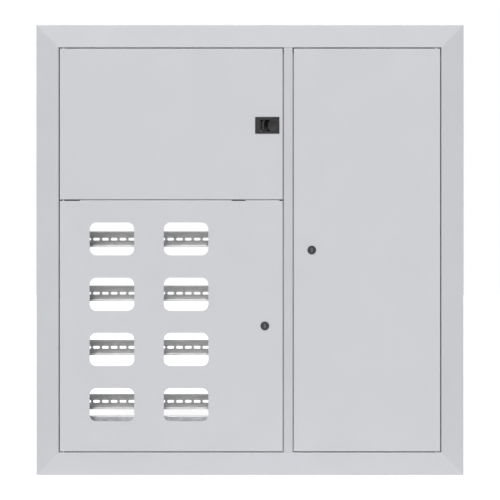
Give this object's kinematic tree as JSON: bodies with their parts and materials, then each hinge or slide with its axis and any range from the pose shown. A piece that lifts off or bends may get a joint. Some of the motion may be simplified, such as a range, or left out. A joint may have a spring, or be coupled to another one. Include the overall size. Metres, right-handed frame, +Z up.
{
  "type": "floor distribution board",
  "caption": "Wall-built steel storey board with a mitred surround, a latched upper door, a windowed meter door and a tall side door over slotted rails.",
  "frame": {"origin": "centre of the four rear fixing holes, on the rear plane of the cabinet", "axes": "+X to the viewer's right, +Y from the doors to the rear, +Z up"},
  "size_m": [0.95, 0.1524, 1],
  "materials": {
    "powder": "light grey powder coat",
    "powder_side": "light grey powder coat, upright members",
    "powder_inner": "light grey powder coat, inner cover",
    "galvanised": "galvanised sheet",
    "rail_zinc": "zinc plated rail",
    "black_steel": "blackened steel",
    "bright_steel": "bright zinc plated steel",
    "lock_zinc": "dark cast zinc",
    "black_plastic": "black moulded plastic",
    "nylon": "natural nylon",
    "bar_plastic": "moulded insulator",
    "brass": "brass bar",
    "rubber": "black rubber"
  },
  "bodies": {
    "root": {"bar_holders": "bar_plastic", "box_wall_bottom": "galvanised", "box_wall_left": "galvanised", "box_wall_right": "galvanised", "box_wall_top": "galvanised", "breaker_cover": "powder_inner", "breaker_rail_lower": "rail_zinc", "breaker_rail_upper": "rail_zinc", "breaker_upright_left": "galvanised", "breaker_upright_right": "galvanised", "cable_edge_trims": "rubber", "centre_post": "powder_side", "cover_posts": "bright_steel", "cover_screws": "black_plastic", "cross_member": "galvanised", "door_buffers": "rubber", "earth_bar": "brass", "earth_studs": "bright_steel", "hinge_lug": "black_steel", "hinge_pins": "bright_steel", "meter_crossbar_lower": "galvanised", "meter_crossbar_upper": "galvanised", "meter_rail_1": "rail_zinc", "meter_rail_2": "rail_zinc", "meter_rail_3": "rail_zinc", "meter_rail_4": "rail_zinc", "meter_rail_5": "rail_zinc", "meter_rail_6": "rail_zinc", "meter_rail_7": "rail_zinc", "meter_rail_8": "rail_zinc", "meter_upright_left": "galvanised", "meter_upright_middle": "galvanised", "meter_upright_right": "galvanised", "mounting_plate": "galvanised", "neutral_bar": "brass", "partition": "galvanised", "rail_screws": "bright_steel", "rest_lugs": "black_steel", "shelf": "galvanised", "trim_bottom": "powder", "trim_left": "powder_side", "trim_right": "powder_side", "trim_top": "powder"},
    "upper_door": {"upper_door": "powder", "upper_door_bushes": "nylon", "latch_housing": "black_plastic", "latch_detent_spring": "bright_steel"},
    "lower_door": {"lower_door": "powder", "lower_door_bushes": "nylon", "lower_lock_body": "lock_zinc", "lower_lock_nut": "lock_zinc"},
    "right_door": {"right_door": "powder", "right_door_bushes": "nylon", "right_lock_body": "lock_zinc", "right_lock_nut": "lock_zinc"},
    "lower_lock": {"lower_lock_plug": "lock_zinc", "lower_lock_cam": "lock_zinc"},
    "right_lock": {"right_lock_plug": "lock_zinc", "right_lock_cam": "lock_zinc"},
    "latch": {"latch_slider": "black_plastic"}
  },
  "joints": [
    {"name": "upper_door_hinge", "type": "hinge", "parent": "root", "child": "upper_door", "pos_m": [-0.4148, -0.145, 0], "axis": [0, 0, -1], "range_deg": [0, 110]},
    {"name": "lower_door_hinge", "type": "hinge", "parent": "root", "child": "lower_door", "pos_m": [-0.4148, -0.145, 0], "axis": [0, 0, -1], "range_deg": [0, 110]},
    {"name": "right_door_hinge", "type": "hinge", "parent": "root", "child": "right_door", "pos_m": [0.4148, -0.145, 0], "axis": [0, 0, 1], "range_deg": [0, 110]},
    {"name": "lower_lock_turn", "type": "hinge", "parent": "lower_door", "child": "lower_lock", "pos_m": [0.0328, -0.15, -0.16853], "axis": [0, -1, 0], "range_deg": [0, 90]},
    {"name": "right_lock_turn", "type": "hinge", "parent": "right_door", "child": "right_lock", "pos_m": [0.1372, -0.15, 0], "axis": [0, 1, 0], "range_deg": [0, 90]},
    {"name": "latch_slide", "type": "slide", "parent": "upper_door", "child": "latch", "axis": [-1, 0, 0], "range_m": [-0.004, 0.0038]}
  ]
}
